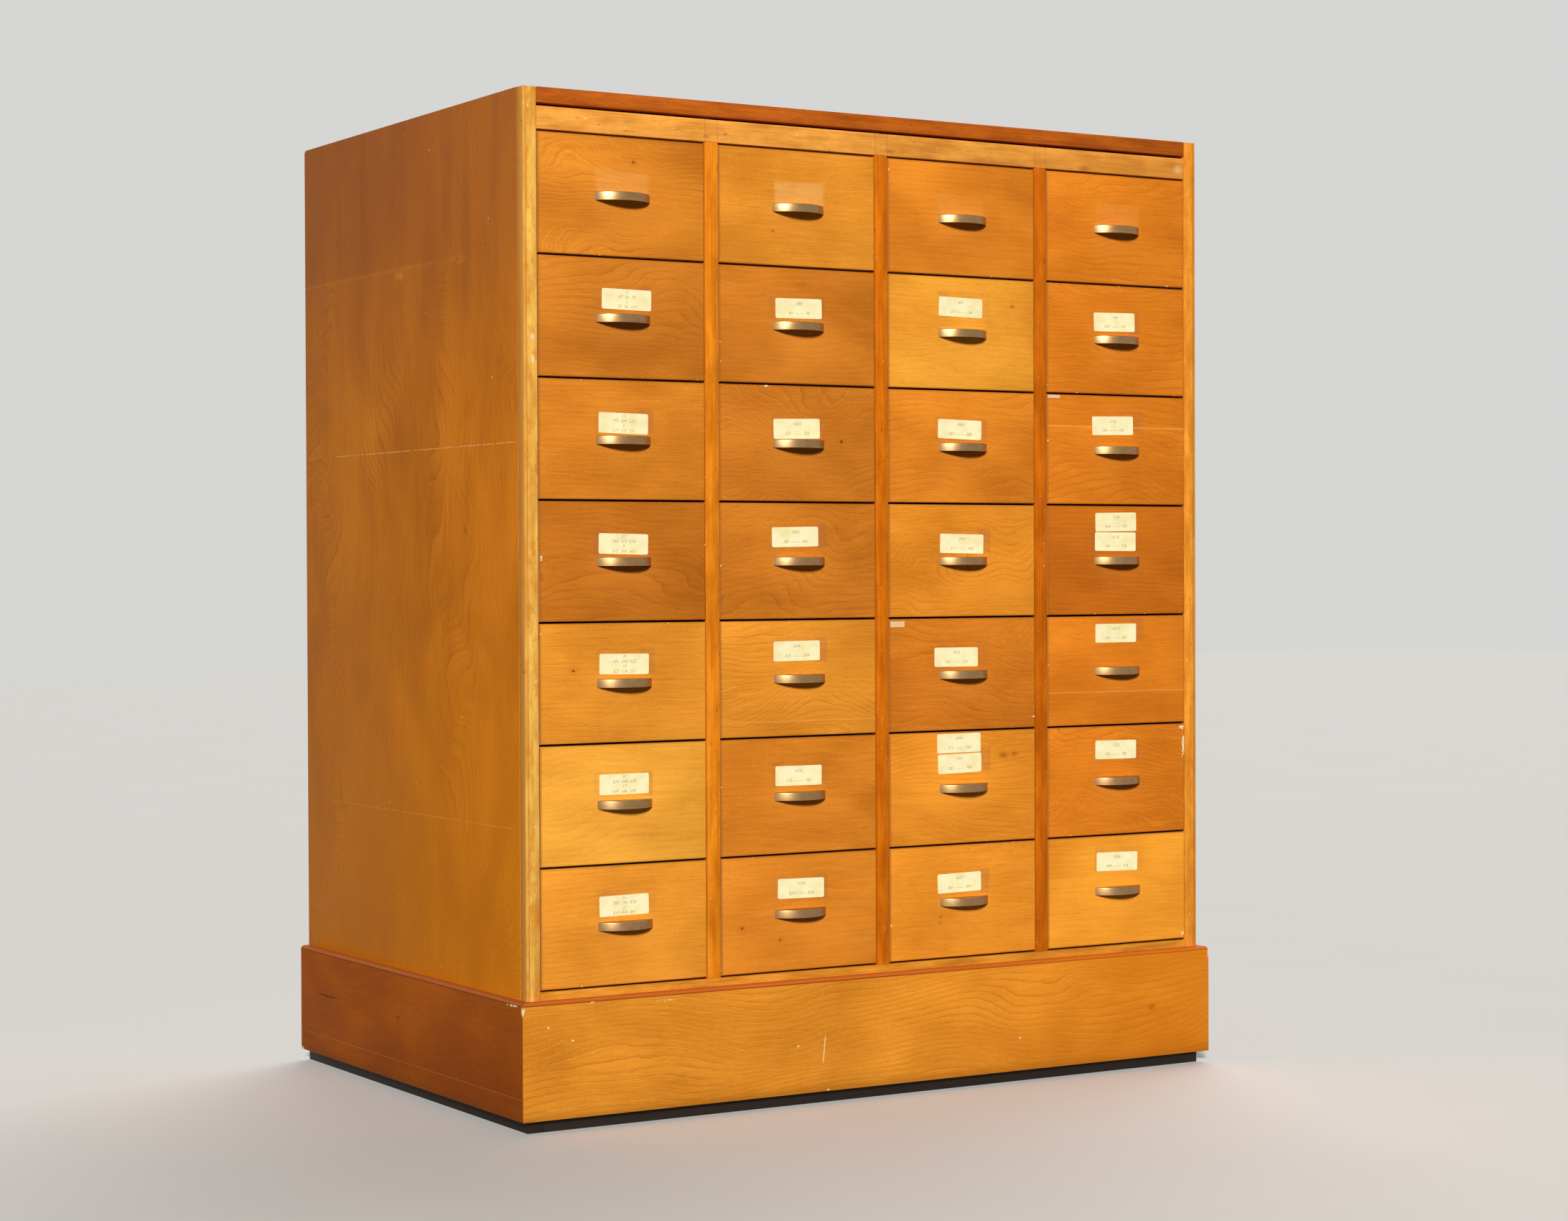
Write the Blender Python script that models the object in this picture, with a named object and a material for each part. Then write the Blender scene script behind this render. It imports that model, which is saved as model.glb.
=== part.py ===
"""Card catalog cabinet: four columns of seven inset drawers in a plywood case on a plinth.

Metres, +Z up. The drawers face -Y and slide out that way. The origin is on the floor,
under the middle of the cabinet's whole outline, pulls included.
"""

import math

import bmesh
import bpy
from mathutils import Matrix, Vector

# Case, its height measured above the plinth's top edge
case_width = 1.042
case_height = 1.120
case_depth = 0.690
columns = 4
rows = 7

# Boards
panel = 0.019  # sides, partitions, bottom board, rail and drawer fronts
top_board = 0.0168
back_board = 0.006
fit = 0.0003  # between pieces that touch
housing = 0.005  # how far a glued board is let into its neighbour

# Front of the case, from the top down
top_slot = 0.0065  # open slot between the top board's edge and the rail
rail_height = 0.0285
bottom_edge = 0.010  # what shows of the bottom board above the plinth
side_corner_radius = 0.006  # worn rear top corner of each side
back_rebate = 0.0095  # width of the rebate that takes the back

# Plinth: a skirt planted round a base frame
skirt_height = 0.146
skirt_board = 0.012
skirt_round = 0.006  # rounded top outer edge
skirt_clearance = 0.016  # skirt's lower edge to the floor
glue_lap = 0.001  # the skirt bites this far into the frame it is glued to
frame_board = 0.022
bearer_count = 2

# Drawer
row_gap = 0.0025
side_gap = 0.0015
drawer_depth = 0.640  # front face to rear end
front_ease = 0.0008  # broken edge round the front's face
box_side = 0.012
box_height = 0.1415
box_lift = 0.004  # the sides' lower edge above the front's
side_round = 0.004  # rounded upper edge of a side
back_drop = 0.010  # the back is this much lower than the sides
bottom_board = 0.006
bottom_lift = 0.008  # bottom board above the sides' lower edge
drawer_travel = 0.520

# Runners: hardwood strips on the case, in grooves along the drawer's sides
runner_height = 0.012
runner_level = 0.052  # runner's upper face above the drawer front's lower edge
runner_nose = 0.004  # tapered lead-in at the front end
groove_depth = 0.006
groove_clearance = 0.0008  # runner's face to the bottom of the groove
groove_play = 0.001  # under the runner, so that a drawer can be lifted a little

# Pull: a half-moon cup, closed on top and open below
pull_width = 0.077
pull_projection = 0.018
pull_height = 0.0105
pull_wall = 0.0013
pull_rise = 0.0685  # pull's lower edge above the drawer front's lower edge
boss_radius = 0.003
boss_spacing = 0.048
arc_steps = 14
round_steps = 4
boss_steps = 8

# What follows from the sizes above
plinth_top = skirt_clearance + skirt_height
case_top = plinth_top + case_height
case_foot = plinth_top + bottom_edge - panel
floor_of_bays = plinth_top + bottom_edge
rail_top = case_top - top_board - top_slot
rail_foot = rail_top - rail_height
front_y = -(case_depth + pull_projection) / 2 + pull_projection
back_y = front_y + case_depth
bay_width = (case_width - (columns + 1) * panel) / columns
bay_pitch = bay_width + panel
front_width = bay_width - 2 * side_gap
front_height = (rail_foot - floor_of_bays - (rows + 1) * row_gap) / rows
row_pitch = front_height + row_gap
runner_reach = side_gap + groove_depth - groove_clearance
overrun = panel  # how far a cutter runs past what it cuts


def clear_scene():
    for obj in list(bpy.data.objects):
        bpy.data.objects.remove(obj, do_unlink=True)


def make_material(name, colour, roughness, metallic=0.0):
    material = bpy.data.materials.new(name)
    material.use_nodes = True
    shader = material.node_tree.nodes["Principled BSDF"]
    shader.inputs["Base Color"].default_value = (*colour, 1.0)
    shader.inputs["Roughness"].default_value = roughness
    shader.inputs["Metallic"].default_value = metallic
    material.diffuse_color = (*colour, 1.0)
    return material


def object_from(name, bm):
    """Closes the bmesh with its faces pointing out and links it to the scene as an object."""
    bmesh.ops.recalc_face_normals(bm, faces=bm.faces)
    mesh = bpy.data.meshes.new(name)
    bm.to_mesh(mesh)
    bm.free()
    obj = bpy.data.objects.new(name, mesh)
    bpy.context.collection.objects.link(obj)
    return obj


def block_mesh(low, high):
    """A bmesh box between two corners."""
    low, high = Vector(low), Vector(high)
    bm = bmesh.new()
    bmesh.ops.create_cube(bm, size=1.0)
    bmesh.ops.scale(bm, vec=high - low, verts=bm.verts)
    bmesh.ops.translate(bm, vec=(low + high) / 2, verts=bm.verts)
    return bm


def block(name, low, high):
    return object_from(name, block_mesh(low, high))


def prism(name, outline, direction):
    """A flat closed outline pushed along one direction."""
    bm = bmesh.new()
    face = bm.faces.new([bm.verts.new(point) for point in outline])
    pushed = bmesh.ops.extrude_face_region(bm, geom=[face])
    moved = [item for item in pushed["geom"] if isinstance(item, bmesh.types.BMVert)]
    bmesh.ops.translate(bm, vec=direction, verts=moved)
    return object_from(name, bm)


def arc(centre, radius, start, end, steps):
    """Points on an arc, as pairs, from one angle to the other."""
    angles = [start + (end - start) * step / steps for step in range(steps + 1)]
    return [(centre[0] + radius * math.cos(a), centre[1] + radius * math.sin(a)) for a in angles]


def combine(obj, tools, operation):
    """Joins or cuts the object with the tools, then removes them."""
    group = bpy.data.collections.new(obj.name + "_" + operation.lower())
    bpy.context.scene.collection.children.link(group)
    for tool in tools:
        for holder in list(tool.users_collection):
            holder.objects.unlink(tool)
        group.objects.link(tool)
        tool.hide_render = True
        tool.display_type = "WIRE"
    modifier = obj.modifiers.new(operation.title(), "BOOLEAN")
    modifier.operation = operation
    modifier.operand_type = "COLLECTION"
    modifier.collection = group
    modifier.solver = "EXACT"
    bpy.context.view_layer.update()
    evaluated = obj.evaluated_get(bpy.context.evaluated_depsgraph_get())
    result = bpy.data.meshes.new_from_object(evaluated)
    result.name = obj.name
    obj.modifiers.clear()
    obj.data = result
    for tool in tools:
        bpy.data.objects.remove(tool, do_unlink=True)
    bpy.data.collections.remove(group)
    return obj


def bay_left(column):
    """Left face of the bay that a column of drawers runs in."""
    return -case_width / 2 + panel + column * bay_pitch


def drawer_foot(row):
    """Lower edge of a drawer front; row 0 is the top one."""
    return rail_foot - (row + 1) * row_pitch


def side_panel(name, outer, inner):
    """A case side: full height, its rear top corner worn round, rebated for the back."""
    corner = (back_y - side_corner_radius, case_top - side_corner_radius)
    outline = [(front_y, case_foot), (back_y, case_foot)]
    outline += arc(corner, side_corner_radius, 0.0, math.pi / 2, round_steps)
    outline += [(front_y, case_top)]
    side = prism(name, [(outer, y, z) for y, z in outline], (inner - outer, 0, 0))
    rebate_edge = inner + math.copysign(back_rebate, outer - inner)
    far_edge = inner + math.copysign(overrun, inner - outer)
    low = (min(rebate_edge, far_edge), back_y - back_board - fit, case_foot - overrun)
    high = (max(rebate_edge, far_edge), back_y + overrun, case_top - top_board)
    return combine(side, [block(name + "_rebate", low, high)], "DIFFERENCE")


def partition(name, left):
    """A full-depth divider: its front edge shows below the rail, which is notched into it."""
    rail_back = front_y + panel
    outline = [
        (front_y, floor_of_bays - housing),
        (back_y - back_board - fit, floor_of_bays - housing),
        (back_y - back_board - fit, case_top - top_board - fit),
        (rail_back, case_top - top_board - fit),
        (rail_back, rail_foot + housing),
        (front_y, rail_foot + housing),
    ]
    return prism(name, [(left, y, z) for y, z in outline], (panel, 0, 0))


def runner(name, wall, outwards, level):
    """A strip let into a bay's wall, with a tapered nose so that the groove finds it."""
    start = front_y + panel + fit
    tip = wall + outwards * runner_reach
    outline = [
        (wall - outwards * housing, start),
        (tip - outwards * runner_nose, start),
        (tip, start + runner_nose),
        (tip, back_y - back_board - fit),
        (wall - outwards * housing, back_y - back_board - fit),
    ]
    points = [(x, y, level - runner_height) for x, y in outline]
    return prism(name, points, (0, 0, runner_height))


def make_carcass():
    """Sides, partitions, bottom board, rail and runners, glued up as one."""
    half = case_width / 2
    carcass = side_panel("carcass", -half, -half + panel)
    pieces = [side_panel("right_side", half, half - panel)]
    inner = half - panel
    pieces.append(
        block(
            "bottom_board",
            (-inner - housing, front_y, case_foot),
            (inner + housing, back_y - back_board - fit, floor_of_bays),
        )
    )
    pieces.append(
        block(
            "top_rail",
            (-inner - housing, front_y, rail_foot),
            (inner + housing, front_y + panel, rail_top),
        )
    )
    for column in range(1, columns):
        pieces.append(partition(f"partition_{column}", bay_left(column) - panel))
    for column in range(columns):
        left = bay_left(column)
        for row in range(rows):
            level = drawer_foot(row) + runner_level
            pieces.append(runner("left_runner", left, 1, level))
            pieces.append(runner("right_runner", left + bay_width, -1, level))
    return combine(carcass, pieces, "UNION")


def make_top():
    """The top board, between the sides and resting on the partitions."""
    reach = case_width / 2 - panel - fit
    return block("top_panel", (-reach, front_y, case_top - top_board), (reach, back_y, case_top))


def make_back():
    """The back, let into the sides' rebates, from the carcass's foot up to the top board."""
    reach = case_width / 2 - panel + back_rebate - fit
    low = (-reach, back_y - back_board, case_foot)
    return block("back_panel", low, (reach, back_y, case_top - top_board - fit))


def skirt_section():
    """Cross-section of a skirt board, as (distance out from the case's face, height)."""
    crest = (skirt_board - skirt_round, plinth_top - skirt_round)
    section = [
        (-glue_lap, skirt_clearance),
        (skirt_board, skirt_clearance),
    ]
    section += arc(crest, skirt_round, 0.0, math.pi / 2, round_steps)
    section += [
        (fit, plinth_top),
        (fit, case_foot - glue_lap - fit),
        (-glue_lap, case_foot - glue_lap - fit),
    ]
    return section


def make_skirt(name):
    """The section swept round the left side, front and right side, mitred at the corners."""
    half = case_width / 2
    stations = [
        (Vector((-half, back_y)), Vector((-1, 0))),
        (Vector((-half, front_y)), Vector((-1, -1))),
        (Vector((half, front_y)), Vector((1, -1))),
        (Vector((half, back_y)), Vector((1, 0))),
    ]
    bm = bmesh.new()
    loops = []
    for corner, outwards in stations:
        flat = [corner + outwards * distance for distance, _ in skirt_section()]
        heights = [height for _, height in skirt_section()]
        loops.append([bm.verts.new((p.x, p.y, z)) for p, z in zip(flat, heights)])
    for first, second in zip(loops, loops[1:]):
        for index in range(len(first)):
            after = (index + 1) % len(first)
            bm.faces.new((first[index], first[after], second[after], second[index]))
    bm.faces.new(loops[0])
    bm.faces.new(loops[-1])
    return object_from(name, bm)


def make_plinth():
    """The skirt on its base frame, which stands on the floor and carries the carcass."""
    half = case_width / 2
    head = case_foot - fit
    skirt = make_skirt("plinth")
    rails = [
        block("left_rail", (-half, front_y, 0), (-half + frame_board, back_y, head)),
        block("right_rail", (half - frame_board, front_y, 0), (half, back_y, head)),
    ]
    reach = half - frame_board + housing
    for name, y in (("front_rail", front_y), ("rear_rail", back_y - frame_board)):
        rails.append(block(name, (-reach, y, 0), (reach, y + frame_board, head)))
    bay = case_width / (bearer_count + 1)
    inset = frame_board - housing
    for bearer in range(bearer_count):
        x = -half + (bearer + 1) * bay - frame_board / 2
        low = (x, front_y + inset, 0)
        rails.append(block(f"bearer_{bearer}", low, (x + frame_board, back_y - inset, head)))
    return combine(skirt, rails, "UNION")


def drawer_front():
    """The front board, with the edges of its face broken."""
    half = front_width / 2
    bm = block_mesh((-half, 0, 0), (half, panel, front_height))
    face_edges = [edge for edge in bm.edges if all(v.co.y < panel / 2 for v in edge.verts)]
    bmesh.ops.bevel(
        bm, geom=face_edges, offset=front_ease, segments=1, profile=0.5, affect="EDGES", material=-1
    )
    return object_from("drawer_master", bm)


def drawer_side(name, outwards):
    """A side with its runner groove and rounded upper edge, pushed back from the front."""
    outer = front_width / 2
    inner = outer - box_side
    top = box_lift + box_height
    groove_top = runner_level + fit
    groove_foot = runner_level - runner_height - groove_play
    section = [
        (inner, box_lift),
        (outer, box_lift),
        (outer, groove_foot),
        (outer - groove_depth, groove_foot),
        (outer - groove_depth, groove_top),
        (outer, groove_top),
    ]
    section += arc((outer - side_round, top - side_round), side_round, 0.0, math.pi / 2, round_steps)
    section += arc((inner + side_round, top - side_round), side_round, math.pi / 2, math.pi, round_steps)
    points = [(outwards * x, panel, z) for x, z in section]
    return prism(name, points, (0, drawer_depth - panel, 0))


def drawer_tenon(name, outwards):
    """The end of a side that is housed in the front, short of the groove's depth."""
    inner = front_width / 2 - box_side
    outer = front_width / 2 - groove_depth
    low = (min(outwards * inner, outwards * outer), panel - housing, box_lift + housing)
    high = (max(outwards * inner, outwards * outer), panel + housing, box_lift + box_height - housing)
    return block(name, low, high)


def drawer_mesh():
    """One drawer: front, sides, back and bottom glued up, its origin low on the front's face."""
    front = drawer_front()
    inner = front_width / 2 - box_side
    bottom_level = box_lift + bottom_lift
    rear = drawer_depth - box_side
    pieces = [
        drawer_side("left_side", -1),
        drawer_side("right_side", 1),
        drawer_tenon("left_tenon", -1),
        drawer_tenon("right_tenon", 1),
        block(
            "back",
            (-inner - housing, rear, bottom_level - housing),
            (inner + housing, drawer_depth, box_lift + box_height - back_drop),
        ),
        block(
            "bottom",
            (-inner - housing, panel - housing, bottom_level),
            (inner + housing, rear + housing, bottom_level + bottom_board),
        ),
    ]
    combine(front, pieces, "UNION")
    mesh = front.data
    bpy.data.objects.remove(front, do_unlink=True)
    return mesh


def half_moon(name, radius, centre_y, reach, foot, head):
    """An upright disc segment: the arc bulges to -Y and its chord lies at reach."""
    half_angle = math.acos((centre_y - reach) / radius)
    middle = -math.pi / 2
    outline = arc((0, centre_y), radius, middle - half_angle, middle + half_angle, arc_steps)
    return prism(name, [(x, y, foot) for x, y in outline], (0, 0, head - foot))


def pull_mesh():
    """The cup pull: a curved band and a flat top in one stamping, with two screw bosses."""
    depth = pull_projection - fit
    radius = ((pull_width / 2) ** 2 + depth**2) / (2 * depth)
    centre_y = radius - pull_projection
    cup = half_moon("pull_master", radius, centre_y, -fit, 0, pull_height)
    hollow_top = pull_height - pull_wall
    hollow = half_moon("hollow", radius - pull_wall, centre_y, pull_wall, -pull_wall, hollow_top)
    combine(cup, [hollow], "DIFFERENCE")
    bosses = []
    for side in (-1, 1):
        x = side * boss_spacing / 2
        band = centre_y - math.sqrt((radius - pull_wall / 2) ** 2 - x**2)
        bm = bmesh.new()
        circle = bmesh.ops.create_circle(bm, cap_ends=True, radius=boss_radius, segments=boss_steps)
        upright = Matrix.Rotation(math.pi / 2, 3, "X")
        bmesh.ops.rotate(bm, verts=circle["verts"], matrix=upright, cent=(0, 0, 0))
        bmesh.ops.translate(bm, verts=circle["verts"], vec=(x, -fit, pull_height / 2))
        pushed = bmesh.ops.extrude_face_region(bm, geom=list(bm.faces))
        moved = [item for item in pushed["geom"] if isinstance(item, bmesh.types.BMVert)]
        bmesh.ops.translate(bm, vec=(0, band + fit, 0), verts=moved)
        bosses.append(object_from("boss", bm))
    combine(cup, bosses, "UNION")
    mesh = cup.data
    bpy.data.objects.remove(cup, do_unlink=True)
    mesh.shade_smooth()
    mesh.set_sharp_from_angle(angle=math.radians(35))
    return mesh


def finish(obj, material):
    obj.data.materials.clear()
    obj.data.materials.append(material)


def make_drawers(birch, bronze):
    """A drawer and its pull in every place; the pull rides on the drawer."""
    drawer_shape = drawer_mesh()
    pull_shape = pull_mesh()
    for shape, material in ((drawer_shape, birch), (pull_shape, bronze)):
        shape.materials.clear()
        shape.materials.append(material)
    for row in range(rows):
        for column in range(columns):
            place = f"r{row + 1}_c{column + 1}"
            drawer = bpy.data.objects.new("drawer_" + place, drawer_shape)
            bpy.context.collection.objects.link(drawer)
            drawer.location = (bay_left(column) + bay_width / 2, front_y, drawer_foot(row))
            pull = bpy.data.objects.new("pull_" + place, pull_shape)
            bpy.context.collection.objects.link(pull)
            pull.parent = drawer
            pull.location = (0, 0, pull_rise)


def main():
    clear_scene()
    birch = make_material("birch_plywood", (0.62, 0.30, 0.075), 0.42)
    shaded_birch = make_material("case_birch", (0.52, 0.24, 0.06), 0.45)
    top_birch = make_material("top_birch", (0.50, 0.21, 0.06), 0.45)
    plain_ply = make_material("plain_plywood", (0.60, 0.42, 0.22), 0.7)
    bronze = make_material("bronze", (0.42, 0.28, 0.15), 0.3, 1.0)
    finish(make_carcass(), shaded_birch)
    finish(make_top(), top_birch)
    finish(make_back(), plain_ply)
    finish(make_plinth(), shaded_birch)
    make_drawers(birch, bronze)


main()
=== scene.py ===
"""Dresses the card catalog cabinet: boards, drawers, pulls, labels, light and camera.

Metres, +Z up, in the frame of the CAD model. Each finished piece's object sits at the
origin, with its place in its mesh, so that patterns on Object coordinates stay put.
"""

import math

import bmesh
import bpy
from mathutils import Matrix, Vector


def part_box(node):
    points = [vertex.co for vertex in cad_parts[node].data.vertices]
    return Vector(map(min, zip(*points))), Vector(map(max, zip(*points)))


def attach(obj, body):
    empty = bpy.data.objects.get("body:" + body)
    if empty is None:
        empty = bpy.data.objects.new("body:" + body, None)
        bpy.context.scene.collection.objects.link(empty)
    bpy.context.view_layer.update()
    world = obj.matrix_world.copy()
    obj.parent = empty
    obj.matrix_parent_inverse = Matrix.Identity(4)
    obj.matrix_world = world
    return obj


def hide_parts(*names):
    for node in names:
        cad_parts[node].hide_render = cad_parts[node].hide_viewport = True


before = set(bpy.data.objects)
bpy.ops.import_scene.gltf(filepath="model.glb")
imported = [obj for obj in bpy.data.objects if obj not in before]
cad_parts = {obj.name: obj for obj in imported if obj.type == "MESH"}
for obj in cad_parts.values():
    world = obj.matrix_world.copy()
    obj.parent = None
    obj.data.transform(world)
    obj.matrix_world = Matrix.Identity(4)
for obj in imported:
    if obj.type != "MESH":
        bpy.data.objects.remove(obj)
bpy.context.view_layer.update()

columns = 4
rows = 7

# Case boards
panel = 0.019
top_board = 0.0168
back_board = 0.006
lipping_depth = 0.017  # solid strip glued to the front edge of each upright
rail_height = 0.0285
top_slot = 0.0065
strip_overhang = 0.0028  # how far the strip on the top board hangs into the slot under it
bottom_edge = 0.010
housing = 0.005
side_corner_radius = 0.006
back_rebate = 0.0095
fit = 0.0003
glue_line = 0.0001  # hairline left between boards that are glued to each other
arris = 0.0007
stile_arris = 0.0009
rail_arris = 0.001
strip_arris = 0.0013
worn_arris = 0.0016

# Pins in the back
pin_radius = 0.0022
pin_head = 0.0005
pin_inset = 0.0055
pin_pitch = 0.14

# Plinth
skirt_clearance = 0.016
skirt_round = 0.005
skirt_band = 0.0042  # reddish strip along the skirt's upper edge
frame_board = 0.022
bearer_count = 2

# Drawer
box_side = 0.012
box_height = 0.1415
box_lift = 0.004
side_round = 0.004
round_steps = 5
back_drop = 0.010
drawer_bottom = 0.006
bottom_lift = 0.008
front_arris = 0.0011
ply_count = 7
runner_height = 0.012
runner_level = 0.052
runner_nose = 0.004
groove_depth = 0.006
groove_play = 0.001
runner_reach = 0.0067

# Pull
pull_wall = 0.0013
pull_round = 0.0011
boss_radius = 0.003
boss_spacing = 0.048
screw_radius = 0.0038
screw_dome = 0.0022
screw_slot = 0.0009

# Label
label_width = 0.0695
label_height = 0.0255
label_corner = 0.0022
paper = 0.00035
figure_height = 0.0058
figure_thinning = 0.00006

# Light: each lamp's name, azimuth, elevation and width in degrees, and strength
lamps = (
    ("key", -33, 23, 9, 3.85),
    ("fill", 134, 42, 50, 1.45),
)
sky_strength = 0.045
varnish_gloss = 0.05
floor_size = 16.0

# Camera, fitted to the cabinet's edges in the photo: place, and turns in degrees
camera_place = (-2.2064, -3.7316, 0.6912)
camera_turns = ((-31.187, "Z"), (-0.775, "X"), (0.211, "Y"), (90, "X"))


def srgb(red, green, blue):
    """Linear colour of a tone written as it looks, from 0 to 255."""
    shares = (red / 255, green / 255, blue / 255)
    return tuple(s / 12.92 if s <= 0.04045 else ((s + 0.055) / 1.055) ** 2.4 for s in shares)


def lit(colour, gain, warmth=1.0):
    """A colour made lighter or darker; warmth over 1 also takes green and blue out."""
    red, green, blue = colour
    return (min(red * gain, 1.0), min(green * gain / warmth, 1.0), min(blue * gain / warmth**3, 1.0))


# The fronts were cut from five leaves of birch that took the stain differently
leaf_tones = {
    "pale": srgb(243, 165, 58),
    "honey": srgb(233, 151, 49),
    "amber": srgb(224, 138, 43),
    "tan": srgb(209, 126, 39),
    "brown": srgb(196, 115, 33),
}
leaf_rows = (
    ("amber", "honey", "amber", "amber"),
    ("tan", "tan", "pale", "amber"),
    ("amber", "tan", "amber", "amber"),
    ("brown", "tan", "honey", "brown"),
    ("honey", "honey", "tan", "amber"),
    ("pale", "amber", "honey", "amber"),
    ("honey", "amber", "honey", "pale"),
)
column_warmth = (1.0, 1.01, 1.07, 1.15)  # the fronts have less green and blue towards the right
# How a leaf's rings show: strength, swirl, pitch, and turns per metre along and across the grain
leaf_figures = {
    "looped": (1.25, 19.0, 0.0070, 7, 10),
    "flowing": (0.95, 15.0, 0.0080, 5, 9),
    "striped": (0.75, 7.0, 0.0065, 4, 8),
    "plain": (0.45, 9.0, 0.0095, 4, 8),
}
side_figure = (1.2, 30.0, 0.0105, 4.0, 5.2)
skirt_figure = (1.3, 13.0, 0.0080, 4, 9)
skirt_side_figure = (0.35, 9.0, 0.0120, 4, 6)
top_figure = (1.3, 14.0, 0.014, 4, 7)
figure_rows = (
    ("looped", "plain", "striped", "flowing"),
    ("flowing", "plain", "plain", "flowing"),
    ("striped", "looped", "flowing", "flowing"),
    ("flowing", "flowing", "looped", "striped"),
    ("striped", "looped", "flowing", "plain"),
    ("plain", "plain", "flowing", "looped"),
    ("striped", "plain", "plain", "plain"),
)


class Wire:
    """One socket's value; arithmetic on it adds Math nodes to the tree it belongs to."""

    def __init__(self, nodes, socket):
        self.nodes = nodes
        self.socket = socket

    def __add__(self, other):
        return self.nodes.maths("ADD", self, other)

    def __sub__(self, other):
        return self.nodes.maths("SUBTRACT", self, other)

    def __rsub__(self, other):
        return self.nodes.maths("SUBTRACT", other, self)

    def __mul__(self, other):
        return self.nodes.maths("MULTIPLY", self, other)

    def __pow__(self, other):
        return self.nodes.maths("POWER", self, other)

    __radd__ = __add__
    __rmul__ = __mul__


class Nodes:
    """A node tree being filled: one method adds any node, and the others call it."""

    def __init__(self, tree):
        self.tree = tree

    def feed(self, socket, value):
        if isinstance(value, Wire):
            self.tree.links.new(value.socket, socket)
        elif socket.type == "RGBA" and len(value) == 3:
            socket.default_value = (*value, 1.0)
        else:
            socket.default_value = value

    def node(self, kind, settings=None, values=None, out=0):
        """Adds a node: its own settings first, then its sockets by name or number."""
        node = self.tree.nodes.new(kind)
        for key, value in (settings or {}).items():
            setattr(node, key, value)
        for key, value in (values or {}).items():
            self.feed(node.inputs[key], value)
        return Wire(self, node.outputs[out])

    def maths(self, operation, first, second=0.0):
        return self.node("ShaderNodeMath", {"operation": operation}, {0: first, 1: second})

    def mix(self, share, first, second):
        """Two colours mixed; the share is how much of the second shows."""
        settings = {"data_type": "RGBA", "clamp_factor": True}
        return self.node("ShaderNodeMix", settings, {0: share, 6: first, 7: second}, out=2)

    def shown(self):
        """1 for the rays that show the pale background: camera, glossy and transmission rays."""
        share = self.node("ShaderNodeLightPath", out="Is Camera Ray")
        for ray in ("Is Glossy Ray", "Is Transmission Ray"):
            share = self.maths("MAXIMUM", share, self.node("ShaderNodeLightPath", out=ray))
        return share


class Finish(Nodes):
    """A material being made; it gathers a colour, a height and a roughness for its shader."""

    def __init__(self, name, along="z", shift=(0, 0, 0), **plain):
        self.material = bpy.data.materials.new(name)
        self.material.use_nodes = True
        super().__init__(self.material.node_tree)
        self.shader = self.tree.nodes["Principled BSDF"]
        self.place = self.node("ShaderNodeTexCoord", out="Object")
        self.along = along
        self.shift = shift
        self.paint(**plain)

    def moved(self, stretch, shift):
        """Object coordinates, stretched and shifted."""
        values = {"Vector": self.place, "Location": shift, "Scale": stretch}
        return self.node("ShaderNodeMapping", None, values)

    def noise(self, stretch, detail=3.0, rough=0.5, swirl=0.0, shift=(0, 0, 0)):
        """Noise with so many turns per metre on each axis."""
        values = {"Vector": self.moved(stretch, shift), "Scale": 1.0, "Detail": detail}
        values.update({"Roughness": rough, "Distortion": swirl})
        return self.node("ShaderNodeTexNoise", None, values)

    def fibre(self, lengthwise, crosswise, detail=3.0, rough=0.5, swirl=0.0):
        """Noise drawn out along this finish's grain."""
        stretch = grain_stretch(self.along, lengthwise, crosswise)
        return self.noise(stretch, detail, rough, swirl, self.shift)

    def step(self, value, low, high):
        """0 below low, 1 above high, smooth between; low may be the larger one."""
        values = {"Value": value, "From Min": low, "From Max": high}
        return self.node("ShaderNodeMapRange", {"interpolation_type": "SMOOTHSTEP"}, values)

    def band(self, value, level, outer, inner):
        """1 within the inner distance of a level, 0 past the outer one."""
        return self.step(self.maths("ABSOLUTE", value - level), outer, inner)

    def axes(self):
        """The x, y and z of the place as three values."""
        split = self.node("ShaderNodeSeparateXYZ", None, {0: self.place})
        return [Wire(self, socket) for socket in split.socket.node.outputs]

    def near(self, spot, reach):
        """1 at a spot, fading to 0 at the reach; reach is one length per axis."""
        stretch = tuple(1 / r for r in reach)
        shift = tuple(-s / r for s, r in zip(spot, reach))
        vector = self.moved(stretch, shift)
        length = self.node("ShaderNodeVectorMath", {"operation": "LENGTH"}, {0: vector}, out=1)
        return self.step(length, 1.0, 0.0)

    def stain(self, share, tone):
        """Lays a share of a tone over the colour so far."""
        self.colour = self.mix(share, self.colour, tone)

    def bump(self, height, distance, strength=1.0):
        values = {"Height": height, "Distance": distance, "Strength": strength}
        self.feed(self.shader.inputs["Normal"], self.node("ShaderNodeBump", None, values))

    def paint(self, **sockets):
        for socket, value in sockets.items():
            name = socket.replace("_", " ").title().replace("Ior", "IOR")
            self.feed(self.shader.inputs[name], value)

    def finished(self, distance, strength):
        """Puts what was gathered on the shader and returns the material."""
        self.paint(base_color=self.colour, roughness=self.rough)
        self.bump(self.height, distance, strength)
        return self.material


def grain_stretch(along, lengthwise, crosswise):
    """Turns per metre on each axis for a grain that runs along one of them."""
    return tuple(lengthwise if axis == along else crosswise for axis in "xyz")


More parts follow.
